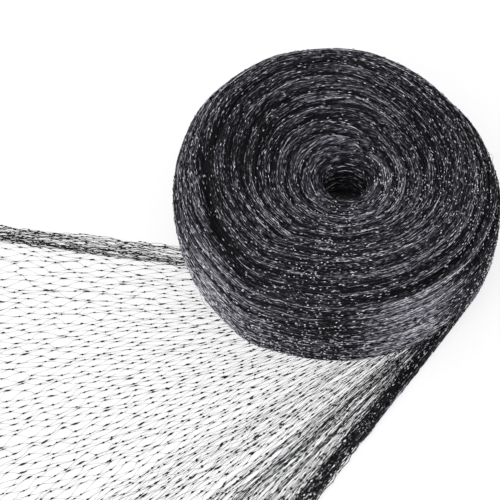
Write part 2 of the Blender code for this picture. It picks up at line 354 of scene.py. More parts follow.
def outlineRadius(angle):
    radius = rollForm["radius"]
    for count, amount, peak in rollForm["lobes"]:
        radius = radius + amount * np.cos(count * (angle - math.radians(peak)))
    for middle, amount, reach in rollForm["bumps"]:
        radius = radius + amount * np.exp(-(degreesFrom(angle, middle) / reach) ** 2)
    # the outermost wrap ends where it leaves the roll, and its strands cover the step
    fromLeaving = (np.degrees(angle) - rollForm["leaveAngle"]) % 360
    covered = smoothStep((fromLeaving - 360 + rollForm["leaveSpan"]) / rollForm["leaveSpan"])
    return radius + rollForm["wrapStep"] * (0.5 - fromLeaving / 360 + covered)


def foldAt(angle):
    angles, places, depths = np.array(rollForm["fold"]).T
    turned = np.degrees(angle) % 360
    after = np.searchsorted(angles, turned, side="right")
    before = after - 1
    after = after % len(angles)
    span = (angles[after] - angles[before]) % 360
    share = smoothStep((turned - angles[before]) / span)
    return (places[before] + share * (places[after] - places[before]),
            depths[before] + share * (depths[after] - depths[before]))


def unevenness(angle, place):
    # slow and quick lumps that drift across the windings, from about -1 to 1
    slow = np.sin(3 * angle + 0.05 * place) * np.sin(0.045 * place + 1.1)
    quick = np.sin(7 * angle - 0.08 * place + 2.0) * np.cos(0.09 * place + 5 * angle)
    return 0.6 * slow + 0.4 * quick


woundStrands = {
    "points": 22,
    "step": (0.0046, 0.0080),  # m between two points of a strand, less near the middle
    "radius": (0.00018, 0.00031),
    "lift": (-0.0011, 0.0002),
    "linePitch": 2.3, "lineJitter": 0.30,  # mm between strands that show, and how true they lie
    "frontJitter": 2.5, "halfStrand": 0.7,  # how much less true in front, and radians to a middle
    "drift": 0.6,  # mm that all of them swing together
    "shorter": (0.10, 0.35),  # ring radius in m under which strands shorten, and the least share
    "straighter": (0.08, 0.4),  # likewise for their waves
    "steadier": (0.08, 0.2),  # likewise for their drift
    "sideWaves": ((0.040, 0.090, 0.00042), (0.022, 0.034, 0.00026)),
    "liftWaves": ((0.018, 0.040, 0.0003),),
    "sunkEnd": 0.0010,  # m that a strand dips at either end, under the others
    "gather": ((5.4, 0.34), (3.1, 0.18)),  # mm between gathered lines, and how far strands move
    "slope": 0.007,  # how far a strand strays across the windings, for each m along it
    "shownShare": 0.46, "shownTone": (0.44, 0.72), "fillTone": (0.22, 0.52),
}


# Painted light and shade over the roll: its crests, grooves, fold, sides and hole
paintedRollShading = {
    "wrap": 0.03,  # painted light: how much lighter a wrap's crest is than its side
    "wrapShade": 0.24,  # painted shade in the groove between two wraps
    "gatherShade": 0.16,  # painted shade in the finer grooves between gathered strands
    "lineWidth": 0.50,  # mm
    "fold": 0.55, "foldWidth": (4.0, 8.5),  # painted shade in the fold's crease; widths in mm, outside and inside the fold
    "foldDeep": 0.011,  # m, the depth that shows darkest
    "foldBroad": (0.010, 0.3),  # m, the depth under which its shade narrows, and the least share
    # painted light and shade on the outer wrap, outside the fold: angle and how much lighter it shows
    # there
    "band": ((0, -.10), (30, -.06), (60, -.01), (150, .02), (190, .045), (222, .15), (244, .04),
             (262, -.05), (272, -.05), (284, .09), (294, .18), (306, .17), (317, .03), (328, -.07),
             (342, -.12), (360, -.10)),
    "bandEnd": (5.0, 6.0),  # mm before the fold where it fades out, and over how many
    # painted light and shade on the inner wraps, inside the fold, likewise
    "inner": ((0, -.05), (30, -.05), (65, .01), (110, .01), (150, -.08), (180, -.07), (215, .01),
              (250, -.02), (285, .01), (310, .04), (335, .0), (360, -.05)),
    "innerEnd": (120, 30.0),  # place where they fade out, and over how far
    "front": -0.08, "frontEven": 0.7,  # painted shade at the front: how much darker, and how far the painted groove shade fades there
    "frontAt": (-100, 20.0),  # its middle and reach in degrees
    "middle": 0.045, "middleFrom": (130, 25.0),  # painted light on the last windings round the hole
    # painted shade down into the hole: place, and how much darker it shows there
    "hole": ((172, 0), (180, -.065), (190, -.11), (203, -.20)),
}


def gatherPhase(angle, rows, pitch):
    # where the gathered lines lie: they drift slowly across the windings
    return 2.0 * np.sin(2 * angle + pitch) + 1.2 * np.sin(5 * angle + 0.02 * rows)


def frontness(angle):
    # 1 just left of the middle of the roll's front, where mostly knots catch the light
    middle, reach = paintedRollShading["frontAt"]
    return np.exp(-(degreesFrom(angle, middle) / reach) ** 2)


def paintedShadingAt(angle, place, wrap):
    # painted light and shade: how light or dark the netting lies, added to each strand's own tone
    look = paintedRollShading
    foldPlace, foldDepth = foldAt(angle)
    outer, inner = look["foldWidth"]
    width = np.where(place < foldPlace, outer, inner * shareWithin(foldDepth, look["foldBroad"]))
    near = np.exp(-((place - foldPlace) / width) ** 2)
    # painted light on the wrap crests, painted shade in the fold's crease
    tone = look["wrap"] * wrap - look["fold"] * near * (foldDepth / look["foldDeep"]) ** 1.2
    even = 1 - look["frontEven"] * frontness(angle)
    # painted shade in the grooves between wraps
    tone = tone - even * look["wrapShade"] * np.exp(-(1 + wrap) / 0.06) * (np.abs(wrap) > 0)
    rows = place + rollForm["wallRows"]
    # painted shade in the grooves between gathered strands
    for pitch, _ in woundStrands["gather"]:
        phase = fullTurn * rows / pitch + gatherPhase(angle, rows, pitch)
        fromLine = np.abs((phase + math.pi) % fullTurn - math.pi) * pitch / fullTurn
        strength = 0.55 + 0.45 * np.sin(2.3 * angle + 0.11 * rows + pitch)
        line = strength * even * np.exp(-(fromLine / look["lineWidth"]) ** 2)
        tone = tone - look["gatherShade"] * line
    # painted light and shade by angle on the outer and inner wraps, the front, and round the hole
    edge, soft = look["bandEnd"]
    outside = smoothStep((foldPlace - edge - place) / soft)
    turned = np.degrees(angle) % 360
    tone = tone + np.interp(turned, *zip(*look["band"])) * outside
    edge, soft = look["innerEnd"]
    ring = (1 - outside) * (1 - smoothStep((place - edge) / soft))
    tone = tone + np.interp(turned, *zip(*look["inner"])) * ring
    tone = tone + look["front"] * frontness(angle) * (1 - 0.5 * outside)
    edge, soft = look["middleFrom"]
    tone = tone + look["middle"] * smoothStep((place - edge) / soft)
    # painted shade down into the hole
    return tone + np.interp(place, *zip(*look["hole"]))


def raiseWraps(points, angle, place, travelled):
    form = rollForm
    lean = np.radians(np.minimum(place, crestPlace))
    outward = np.stack([np.cos(lean) * np.cos(angle), np.cos(lean) * np.sin(angle),
                        np.sin(lean) + 0 * angle], -1)
    turn = fullTurn * travelled / form["wrapPitch"] + angle
    wrap = form["wrapHeight"] * np.sin(turn) * (0.75 + 0.25 * np.sin(2 * angle + 0.07 * place))
    lump = form["unevenHeight"] * unevenness(angle, place)
    foldPlace, foldDepth = foldAt(angle)
    fold = foldDepth * np.exp(-((place - foldPlace) / form["foldWidth"]) ** 2)
    fade = smoothStep(place / 30.0) * smoothStep((rimPlace - place) / 12.0)  # none at either end
    return points + outward * ((wrap + lump) * fade - fold)[..., None], np.sin(turn) * fade


def atHeights(flat, height):
    # a grid of flat points, with each of its rows at its own height
    return np.concatenate([flat, np.broadcast_to(height[None, :, None], (*flat.shape[:2], 1))], -1)


def rollGrid():
    form = rollForm
    angle = (fullTurn * np.arange(form["columns"]) / form["columns"])[:, None]
    ray = np.concatenate([np.cos(angle), np.sin(angle)], 1)[:, None]
    radius = outlineRadius(angle)

    def outerPoints(inset, height):
        return atHeights(ray * (radius - inset)[..., None], height)

    def holePoints(extra, height):
        reach = (form["holeRadius"] + extra)[None, :, None]
        return atHeights(np.array(form["holeAt"]) + ray * reach, height)

    wallHeight = form["wallTop"] * np.arange(form["wallRows"]) / form["wallRows"]
    wall = outerPoints(np.interp(wallHeight, *zip(*form["wallInsets"])), wallHeight)
    place = crestPlace * np.arange(form["shoulderRows"]) / form["shoulderRows"]
    lean = np.radians(place)
    rise = form["height"] - form["wallTop"]
    shoulder = outerPoints(
        form["shoulder"] * (1 - np.cos(lean)), form["wallTop"] + rise * np.sin(lean))
    share = np.arange(form["dishRows"] + 1) / form["dishRows"]
    crest = outerPoints(np.array([form["shoulder"]]), np.array([form["height"]]))
    rim = holePoints(np.array([form["rimRound"]]), np.array([form["rimHeight"]]))
    dish = crest + (rim - crest) * share[None, :, None]
    drop = form["height"] - form["rimHeight"]
    dish[..., 2] = form["rimHeight"] + drop * (1 - share) ** form["dishPower"]
    top = np.concatenate([shoulder, dish], 1)
    steps = np.linalg.norm(np.diff(top, axis=1, prepend=top[:, :1]), axis=-1)
    places = np.concatenate([place, crestPlace + (rimPlace - crestPlace) * share])[None]
    top, wrap = raiseWraps(top, angle, places, np.cumsum(steps, 1))
    heights, extras = zip(*form["holeSteps"])
    along = np.linspace(0, len(heights) - 1, form["holeRows"])
    number = range(len(heights))
    hole = holePoints(np.interp(along, number, extras), np.interp(along, number, heights))
    points = np.concatenate([wall, top, hole], 1)
    across = np.gradient(points, axis=1)
    around = np.roll(points, -1, 0) - np.roll(points, 1, 0)
    below = -rowsPerMetre * (form["wallTop"] - wallHeight)
    inHole = rimPlace + 1 + np.arange(form["holeRows"])
    allPlaces = np.concatenate([below, places[0], inHole])[None]
    wraps = np.pad(wrap, ((0, 0), (form["wallRows"], form["holeRows"])))
    return points, unit(np.cross(around, across)), paintedShadingAt(angle, allPlaces, wraps)


gridPoints, gridOutward, gridPaintedShading = rollGrid()
gridRows = gridPoints.shape[1]
rowReach = np.linalg.norm(gridPoints[:, :, :2], axis=-1).mean(0)  # m from the axis
topEnd = gridRows - rollForm["holeRows"] + 2  # the first row that lies down in the hole


def onRoll(angle, row, lift):
    # a point this far above the wound form, the way out of it, and the painted light and shade there
    column = (angle % fullTurn) / fullTurn * rollForm["columns"]
    low = np.floor(column).astype(int)
    columnShare = (column - low)[..., None]
    low %= rollForm["columns"]
    high = (low + 1) % rollForm["columns"]
    row = np.clip(row, 0, gridRows - 1.001)  # always under the last row
    under = np.floor(row).astype(int)
    rowShare = (row - under)[..., None]

    def mixed(grid):
        first = grid[low, under] * (1 - rowShare) + grid[low, under + 1] * rowShare
        second = grid[high, under] * (1 - rowShare) + grid[high, under + 1] * rowShare
        return first * (1 - columnShare) + second * columnShare

    outward = unit(mixed(gridOutward))
    points = mixed(gridPoints) + outward * lift[..., None]
    points[..., 2] = np.maximum(points[..., 2], leastHeight)
    return points + rollAxis, outward, mixed(gridPaintedShading[..., None])[..., 0]


def makeWoundPiece(name, shapes, materials, attributes=None):
    piece = makePiece(name, shapes, materials, attributes)
    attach(piece, "root")
    return piece


packedUnder = 0.0012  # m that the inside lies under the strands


def makeWindings():
    # the inside of the roll, drawn in place of the imported one, at half the grid's steps, and closed
    # under its foot
    points = (gridPoints - gridOutward * packedUnder)[::2, ::2]
    points[..., 2] = np.maximum(points[..., 2], 0.0)
    columns, rows = points.shape[:2]
    index = np.arange(columns * rows).reshape(columns, rows)
    beside = np.roll(index, -1, 0)
    walls = np.stack([index, beside, np.roll(beside, -1, 1), np.roll(index, -1, 1)], -1)
    flat = points.reshape(-1, 3)
    rowGap = 2 / rowsPerMetre
    stretched = 0.12  # a streak is eight times as long as it is wide
    rowDistance = np.broadcast_to(rowGap * np.arange(rows)[None], (columns, rows)).reshape(-1, 1)
    streak = np.concatenate([rowDistance, flat[:, :2] * stretched], 1)
    # the windings take the grid's painted light and shade as their tone
    piece = makeWoundPiece(
        "wound_netting", [(flat + rollAxis, [walls.reshape(-1, 4)], gridPaintedShading[::2, ::2].ravel(), 0)],
        [packedMaterial], {"streak": streak})
    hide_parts("roll")


makeWindings()


# Strands on the roll

def strandPiece(name, seed, count, lowRow, highRow):
    look = woundStrands
    rng = np.random.default_rng(seed)
    shape = (count, 1)
    # more strands where the ring is longer
    reach = rowReach[lowRow:highRow]
    row = rng.choice(np.arange(lowRow, highRow), size=count, p=reach / reach.sum())[:, None]
    shows = rng.random(shape) < look["shownShare"]
    start = rng.uniform(0, fullTurn, shape)
    jitter = look["lineJitter"] * (1 + look["frontJitter"] * frontness(start + look["halfStrand"]))
    line = np.round(row / look["linePitch"]) * look["linePitch"] + rng.normal(0, 1, shape) * jitter
    row = np.where(shows, line, row + rng.uniform(-0.5, 0.5, shape))
    ringRadius = np.interp(row, np.arange(lowRow, highRow), reach)
    step = rng.uniform(*look["step"], shape) * shareWithin(ringRadius, look["shorter"])
    number = np.arange(look["points"])
    distance = step * number
    angle = start + distance / ringRadius
    across = rowsPerMetre * wander(rng, distance, look["sideWaves"])
    across *= shareWithin(ringRadius, look["straighter"])
    across += rowsPerMetre * distance * rng.normal(0, look["slope"], shape)
    drift = look["drift"] * np.sin(3 * angle + 0.05 * row)
    rows = row + across + drift * shareWithin(ringRadius, look["steadier"])
    for pitch, amount in look["gather"]:
        rows = rows + amount * np.sin(fullTurn * rows / pitch + gatherPhase(angle, rows, pitch))
    ends = np.minimum(number, number[::-1])
    sunk = look["sunkEnd"] * (1 - smoothStep(ends / 3))[None]
    lift = rng.uniform(*look["lift"], shape) + wander(rng, distance, look["liftWaves"]) - sunk
    paths, outward, paintedShading = onRoll(angle, rows, lift)
    radius = rng.uniform(*look["radius"], shape) * (0.5 + 0.5 * smoothStep(ends / 2))[None]
    shownTone = rng.uniform(*look["shownTone"], shape)
    fillTone = rng.uniform(*look["fillTone"], shape)
    # each strand's own tone, plus the painted light and shade of its place
    tone = np.where(shows, shownTone, fillTone) + paintedShading
    points, faces = sweepStrands(paths, outward, radius)
    shape = points, faces, np.repeat(tone.ravel(), strandSides), 0
    makeWoundPiece(name, [shape], [strandMaterial], {"run": strandRun(distance)})


def strandRun(distance):
    # where a point is along its own strand, for the material: each strand lies far from the next
    apart = 0.10 * np.arange(len(distance))[:, None] + 0 * distance
    run = np.stack([distance, apart, 0 * distance], -1)
    return np.repeat(run.reshape(-1, 3), strandSides, axis=0)


wallEnd = rollForm["wallRows"] + rollForm["shoulderRows"] // 3
shoulderEnd = rollForm["wallRows"] + rollForm["shoulderRows"]
strandPiece("wall_strands", 11, 1340, 1, wallEnd)
strandPiece("shoulder_strands", 12, 1400, wallEnd, shoulderEnd)
strandPiece("top_strands", 13, 1400, shoulderEnd, topEnd)
strandPiece("hole_strands", 14, 230, topEnd - 6, gridRows - 3)


# Knots on the roll, with painted glints where the filament's skin shows as white points

woundKnots = {
    "count": 4700,
    "length": (0.0011, 0.0019),
    "drawnOut": 2.0,  # how much longer they are away from the front
    "width": (0.0006, 0.0010),
    "lift": (0.0002, 0.0008),
    # how many painted glints show at each angle: most at the front and on the right wall
    "crowd": ((0, 1.8), (40, 1.2), (90, 1.0), (230, 1.0), (250, 1.9), (262, 3.0), (280, 2.0),
              (300, 0.8), (318, 1.2), (336, 3.0), (352, 3.0), (360, 1.8)),
    "rounded": ((-100, 20), (-18, 22)),  # where they lie as round points: middle and reach, degrees
    "rounder": 0.75,  # the width elsewhere, as a share of the width there
    "tone": (0.08, 0.80),  # painted glint brightness: its least, and how much more
    "frontGlint": 0.25, "paintedShading": 0.5,  # brighter painted glints at the rounded places, and the share of the roll's painted light and shade
}


def roundedAt(angle):
    away = [degreesFrom(angle, middle) / reach for middle, reach in woundKnots["rounded"]]
    return np.exp(-np.min(np.square(away), axis=0))


def makeWoundKnots():
    look = woundKnots
    rng = np.random.default_rng(21)
    tries = look["count"] * 5  # enough are left when the crowd is thinned
    angle = rng.uniform(0, fullTurn, tries)
    reach = rowReach[:topEnd]
    row = rng.choice(np.arange(topEnd), size=tries, p=reach / reach.sum())
    angles, crowd = np.array(look["crowd"]).T
    wanted = np.interp(np.degrees(angle), angles, crowd / crowd.max())
    kept = np.flatnonzero(rng.random(tries) < wanted)[:look["count"]]
    angle, row = angle[kept], row[kept] + rng.uniform(-0.5, 0.5, len(kept))
    front = roundedAt(angle)
    count = len(kept)
    centres, outward, paintedShading = onRoll(angle, row, rng.uniform(*look["lift"], count))
    ahead = onRoll(angle + 0.01, row + rng.normal(0, 0.3, count), np.zeros(count))[0]
    behind = onRoll(angle - 0.01, row, np.zeros(count))[0]
    drawnOut = look["drawnOut"] + (1 - look["drawnOut"]) * front
    length = rng.uniform(*look["length"], count) * drawnOut
    width = rng.uniform(*look["width"], count) * (look["rounder"] + (1 - look["rounder"]) * front)
    points, faces = sweepKnots(centres, ahead - behind, outward, length, width)
    least, more = look["tone"]
    # painted glint brightness, brighter at the rounded places
    tone = least + more * rng.random(count) ** 1.3 + look["frontGlint"] * front * rng.random(count)
    tone = np.repeat(tone + look["paintedShading"] * paintedShading, knotPoints)
    makeWoundPiece("wound_knot_glints", [(points, faces, tone, 0)], [paintedGlintMaterial])


makeWoundKnots()


# Loose end: the net at its real mesh, fanned out between two gathered edges

fanForm = {
    # where its two edges leave the roll, in m from the axis, and their headings in degrees
    "upperStart": (0.120, -0.057), "upperHeading": 172.7,
    "rightStart": (0.116, -0.073), "rightHeading": 235.8,
    "length": 0.450, "netThick": 0.0015,
    "crowding": 1.3,  # over 1, so the strands lie closer toward the right edge
    "upperWidth": 0.015, "rightWidth": 0.018,  # m of either edge that is gathered, not net
    "bundleShare": 0.2,  # the most of the fan that an edge takes near the roll
}


def fanPoint(share, along):
    # share is 0 at the upper edge and 1 at the right one, and along is m from the roll
    form = fanForm
    upper, right = np.array(form["upperStart"]), np.array(form["rightStart"])
    start = upper + (right - upper) * share[..., None]
    spread = 1 - np.clip(1 - share, 0, None) ** form["crowding"]
    heading = np.radians(form["upperHeading"] + (form["rightHeading"] - form["upperHeading"]) * spread)
    ray = np.stack([np.cos(heading), np.sin(heading)], -1)
    return start + ray * along[..., None], heading


def fanWidth(along):
    gap = math.dist(fanForm["upperStart"], fanForm["rightStart"])
    return gap + math.radians(fanForm["rightHeading"] - fanForm["upperHeading"]) * along


def bundleShares(along):
    form, across = fanForm, fanWidth(along)
    upper = np.minimum(form["upperWidth"] / (across * form["crowding"]), form["bundleShare"])
    right = np.minimum((form["rightWidth"] / across) ** (1 / form["crowding"]), form["bundleShare"])
    return upper, 1 - right


def clearOfRoll(flat):
    # how far a point on the floor is outside the roll's outline
    return np.linalg.norm(flat, axis=-1) - outlineRadius(np.arctan2(flat[..., 1], flat[..., 0]))


netMesh = {
    "across": 80,  # meshes from edge to edge
    "halfMesh": 0.0125,  # m, half of a mesh pulled almost shut
    "first": 0.060,
    # along a thread: share of the way, radius in m, and tone, as it thins and pales between knots
    "thread": ((0.0, 0.00029, 0.25), (0.22, 0.00015, 0.54), (0.5, 0.00008, 0.80),
               (0.78, 0.00015, 0.54), (1.0, 0.00029, 0.25)),
    "alongWander": 0.0024,
    "strandShift": 0.0034,  # m that a strand's knots may lie further along than its neighbour's
    "acrossWander": 0.42,  # of the space between two knots
    "bunching": ((7, 0.004), (13, 0.004), (23, 0.003)),  # waves across, and how far strands move
    "bunchedFrom": 0.40,  # share of the way across where the strands begin to bunch
    "knotLength": (0.0021, 0.0037), "knotWidth": (0.0013, 0.0020), "knotTone": (0.00, 0.25),
    "doubledShare": 0.11, "doubledLength": 2.3,  # knots drawn out where two threads lie together
    "height": (0.0007, 0.0004),  # m, the least height of a knot, and how much more
    "kinks": (0.00034, 0.0004, 0.0006),  # m that a thread strays sideways, down and up
    "hidden": -0.012,  # the net stops this far under the roll
    "pulledTight": (0.20, 0.7),  # m from the roll under which knots shrink, and the least share
}


def netKnots(rng):
    look, form = netMesh, fanForm
    columns = int((form["length"] - look["first"]) / look["halfMesh"]) + 1
    steps = 2 * look["across"]
    column, step = np.meshgrid(np.arange(columns), np.arange(steps + 1), indexing="ij")
    shift = np.zeros(steps + 1)
    for number in range(1, steps + 1):
        shift[number] = 0.75 * shift[number - 1] + rng.normal(0, look["strandShift"])
    along = form["length"] - look["halfMesh"] * (columns - 1 - column)
    place = step / steps
    bunched = smoothStep((place - look["bunchedFrom"]) / 0.3)
    for count, amount in look["bunching"]:
        wave = np.sin(fullTurn * (count * place + 1.3 * along / form["length"]) + count)
        place = place + amount * bunched * wave
    place = place + rng.uniform(-1, 1, place.shape) * look["acrossWander"] / look["across"]
    moved = shift[step] + rng.uniform(-1, 1, place.shape) * look["alongWander"]
    along = np.minimum(along + moved * (column < columns - 1), form["length"])
    upper, right = bundleShares(along)
    low, high = upper * 0.5, 1 - (1 - right) * 0.5
    flat, heading = fanPoint(low + (high - low) * np.clip(place, 0, 1), along)
    least, more = look["height"]
    height = least + more * rng.random(place.shape)
    return column, step, np.concatenate([flat, height[..., None]], -1), heading


def pulledTight(points):
    # knots draw together, and threads lie straighter, where the net leaves the roll
    away = np.linalg.norm(points[..., :2] - np.array(fanForm["rightStart"]), axis=-1)
    return shareWithin(away, netMesh["pulledTight"])


def netThreads(knots, heading, first, second, rng):
    # a thread leaves each knot in line with the strand, and swings over to the next knot
    share, thickness, _ = np.array(netMesh["thread"]).T
    bend = smoothStep(share)
    start, end = knots[first], knots[second]
    ray = np.stack([np.cos(heading[first]), np.sin(heading[first]), 0 * heading[first]], -1)
    span = end - start
    forward = (span * ray).sum(-1, keepdims=True) * ray
    sideways = span - forward
    paths = start[:, None] + forward[:, None] * share[:, None] + sideways[:, None] * bend[:, None]
    inner = (len(paths), len(share) - 2)
    loose = pulledTight(start)[:, None, None]
    sideKink, downKink, upKink = netMesh["kinks"]
    paths[:, 1:-1, :2] += loose * rng.normal(0, sideKink, (*inner, 2))
    paths[:, 1:-1, 2] += rng.uniform(-downKink, upKink, inner)
    paths[..., 2] = np.maximum(paths[..., 2], thickness.max())
    return paths


def gatheredStrands(rng, edge, shareLow, shareHigh):
    # strands that run down the fan between two shares of it
    share = np.linspace(0, 1, edge["points"])
    ends = fanForm["length"] - rng.uniform(0, 0.012, (edge["strands"], 1))
    along = edge["from"] + (ends - edge["from"]) * share
    mix = rng.random((edge["strands"], 1))
    low, high = shareLow(along) + 0 * along, shareHigh(along) + 0 * along
    flat, heading = fanPoint(low + (high - low) * mix, along)
    sideways = np.stack([-np.sin(heading), np.cos(heading)], -1)
    tucked = edge.get("tuck", 0.0) * (1 - smoothStep((along - edge["from"]) / 0.060))
    flat = flat + sideways * (wander(rng, along, edge["waves"]) - tucked)[..., None]
    clear = smoothStep((clearOfRoll(flat) - 0.004) / 0.030)
    full = fanForm["netThick"] * 0.8 + (edge["height"] - fanForm["netThick"]) * clear
    level = rng.random((edge["strands"], 1)) + 0.25 * wander(rng, along, ((0.03, 0.09, 1.0),))
    height = 0.0004 + full * np.clip(level, 0, 1)
    return np.concatenate([flat, height[..., None]], -1)


def strandShape(rng, paths, look):
    # tubes along these paths, with where each point is along its own strand
    radii = rng.uniform(*look["radius"], (len(paths), 1)) * np.ones(paths.shape[:2])
    points, faces = sweepStrands(paths + rollAxis, upward, radii)
    tone = rng.uniform(*look["tone"], (len(paths), 1)) + np.zeros(paths.shape[:2])
    steps = np.linalg.norm(np.diff(paths, axis=1, prepend=paths[:, :1]), axis=-1)
    return (points, faces, np.repeat(tone.ravel(), strandSides), 0), strandRun(np.cumsum(steps, 1))


def knotShape(rng, centres, along, length, look, material):
    tight = pulledTight(centres)
    width = tight * rng.uniform(*look["knotWidth"], len(centres))
    centres = centres + rollAxis
    centres[:, 2] = np.maximum(centres[:, 2], 0.6 * width)  # clear of the table
    points, faces = sweepKnots(centres, along, upward, length * tight ** 0.5, width)
    tone = np.repeat(rng.uniform(*look["knotTone"], len(centres)), knotPoints)
    return (points, faces, tone, material), points


def knotsOnStrands(rng, paths, look, material):
    count = look["knots"]
    strand = rng.integers(0, len(paths), count)
    point = 1 + ((paths.shape[1] - 2) * rng.random(count) ** 0.7).astype(int)  # fewer by the roll
    centres = paths[strand, point] + look.get("raised", 0.0) * upward
    along = paths[strand, point + 1] - paths[strand, point - 1]
    return knotShape(rng, centres, along, rng.uniform(*look["knotLength"], count), look, material)


def makeNetPiece(name, parts):
    shapes, runs = zip(*parts)
    piece = makePiece(name, shapes, [netMaterial, paintedGlintMaterial], {"run": np.concatenate(runs)})
    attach(piece, "root")
    return piece


upperEdge = {
    "strands": 38, "points": 56, "from": 0.205,
    "offset": -0.006,  # share of the fan that it lies outside the net
    "width": (0.020, 0.013),  # m, where it meets the roll and at its far end
    "height": 0.0038, "radius": (0.00011, 0.00024), "tone": (0.10, 0.60),
    "waves": ((0.05, 0.12, 0.0020), (0.014, 0.024, 0.0013)),
    "knots": 560, "knotLength": (0.0022, 0.0060), "knotWidth": (0.0008, 0.0015),
    "knotTone": (0.05, 0.40),
}
rightEdge = {
    "strands": 44, "points": 62, "from": 0.006, "tuck": 0.007,  # m inward where it leaves the roll
    "width": (0.0078, 0.0200),
    "height": 0.0050, "radius": (0.00021, 0.00037), "tone": (0.05, 0.55),
    "waves": ((0.06, 0.15, 0.0016), (0.015, 0.026, 0.0013)),
    "knots": 560, "knotLength": (0.0018, 0.0046), "knotWidth": (0.0009, 0.0016),
    "knotTone": (0.05, 0.40),
    # painted glints: knots that catch the light, a little above the others
    "glints": {"knots": 300, "knotTone": (0.2, 1.0), "raised": 0.0006},
}


def edgeWidth(edge, along):
    # the edge's width as a share of the fan's own width at that place
    return np.interp(along, (edge["from"], fanForm["length"]), edge["width"]) / fanWidth(along)


def makeLooseNet():
    look = netMesh
    rng = np.random.default_rng(31)
    column, step, knots, heading = netKnots(rng)
    steps = 2 * look["across"]
    index = np.arange(column.size).reshape(column.shape)
    shown = (column + step) % 2 == 0
    links = []
    for side in (-1, 1):
        fits = shown[:-1].copy()
        fits[:, 0 if side < 0 else steps] = False
        target = np.roll(index[1:], -side, 1)
        links.append(np.stack([index[:-1][fits], target[fits]], -1))
    links = np.concatenate(links)
    flatKnots, flatHeading = knots.reshape(-1, 3), heading.ravel()
    clear = clearOfRoll(flatKnots[:, :2])
    links = links[(clear[links] > look["hidden"]).any(1)]
    threads = netThreads(flatKnots, flatHeading, links[:, 0], links[:, 1], rng)
    _, thickness, tones = np.array(look["thread"]).T
    radius = thickness * rng.uniform(0.8, 1.2, (len(threads), 1))
    points, faces = sweepStrands(threads + rollAxis, upward, radius)
    tone = tones + rng.uniform(-0.08, 0.08, (len(threads), 1))
    parts = [((points, faces, np.repeat(tone.ravel(), strandSides), 0), points)]

    used = np.flatnonzero(shown.ravel() & (clear > look["hidden"]))
    ray = np.stack([np.cos(flatHeading), np.sin(flatHeading), 0 * flatHeading], -1)[used]
    ray[:, :2] += rng.normal(0, 0.12, (len(used), 2))
    length = rng.uniform(*look["knotLength"], len(used))
    length = length * np.where(rng.random(len(used)) < look["doubledShare"], look["doubledLength"], 1.0)
    parts.append(knotShape(rng, flatKnots[used], ray, length, look, 0))

    crowding, offset = fanForm["crowding"], upperEdge["offset"]
    upper = gatheredStrands(
        rng, upperEdge, lambda along: offset,
        lambda along: offset + edgeWidth(upperEdge, along) / crowding)
    right = gatheredStrands(
        rng, rightEdge, lambda along: 1 - edgeWidth(rightEdge, along) ** (1 / crowding),
        lambda along: 1.0)
    for paths, edge in ((upper, upperEdge), (right, rightEdge)):
        parts.append(strandShape(rng, paths, edge))
        parts.append(knotsOnStrands(rng, paths, edge, 0))
    # painted glints on the right edge
    parts.append(knotsOnStrands(rng, right, {**rightEdge, **rightEdge["glints"]}, 1))
    piece = makeNetPiece("loose_netting", parts)
    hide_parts("loose_net")
    return piece


looseNet = makeLooseNet()


foldedLook = {
    # further layers over the first, and the share of the fan that each takes
    "layers": ({"strands": 58, "share": 0.46, "radius": (0.00009, 0.00016), "tone": (0.36, 0.80)},
               {"strands": 40, "share": 0.31, "radius": (0.00014, 0.00024), "tone": (0.10, 0.58)}),
    "layer": {"points": 54, "from": 0.060, "height": 0.0024,
              "waves": ((0.05, 0.14, 0.0024), (0.02, 0.035, 0.0011))},
    "farShare": 0.97,  # where they end, just short of the right edge
    "folds": ((0.70, 3), (0.755, 5), (0.82, 6), (0.885, 4)),  # where a fold runs, and its strands
    "fold": {"points": 50, "from": 0.090, "height": 0.0030, "radius": (0.00016, 0.00028),
             "tone": (0.35, 0.60), "waves": ((0.06, 0.16, 0.0016), (0.02, 0.035, 0.0006))},
    "foldWidth": 0.014, "foldSway": 0.012,  # shares of the fan
    # on each layer
    "knots": 500, "knotLength": (0.0022, 0.0060), "knotWidth": (0.0007, 0.0013),
    "knotTone": (0.10, 0.45),
}


def makeFoldedLayers():
    look = foldedLook
    rng = np.random.default_rng(41)
    parts = []
    for own in look["layers"]:
        layer = {**look["layer"], **own}
        paths = gatheredStrands(
            rng, layer, lambda along: 1 - layer["share"], lambda along: look["farShare"])
        parts.append(strandShape(rng, paths, layer))
        parts.append(knotsOnStrands(rng, paths, look, 0))
    for share, strands in look["folds"]:
        def foldShare(along):
            return share + look["foldSway"] * np.sin(9 * along + 20 * share)

        fold = {**look["fold"], "strands": strands}
        paths = gatheredStrands(
            rng, fold, foldShare, lambda along: foldShare(along) + look["foldWidth"])
        parts.append(strandShape(rng, paths, fold))
    return makeNetPiece("folded_layers", parts)


foldedLayers = makeFoldedLayers()


leavingStrands = {
    "strands": 64, "points": 36, "knots": 300,
    "start": (-16.0, 46.0),  # degrees round the wall where a strand comes to the surface
    "leaves": (-37.0, -31.0),  # degrees where it runs on from the wall in a straight line
    "height": (0.002, 0.036),  # m up the wall
    "foot": (0.0008, 0.0045),  # m, where it ends up in the right edge
    "fall": (0.030, 0.120), "run": (0.050, 0.180), "lift": (-0.0010, 0.0003),
    "sunk": 0.003,  # m that a strand starts under the others
    "radius": (0.00020, 0.00034), "tone": (0.10, 0.58),
    "knotLength": (0.0013, 0.0030), "knotWidth": (0.0007, 0.0012), "knotTone": (0.10, 0.90),
    "waves": ((0.05, 0.12, 0.0011), (0.018, 0.030, 0.0004)),
    "heightWaves": ((0.04, 0.09, 0.0010),),
}
strayHairs = {
    "count": 30, "points": 12, "step": (0.0016, 0.0030), "height": (0.0014, 0.0042),
    "radius": (0.00011, 0.00017), "tone": (0.45, 0.70), "waves": ((0.02, 0.05, 0.004),),
    "rooted": 0.0006,  # m that either end starts under the strands
}


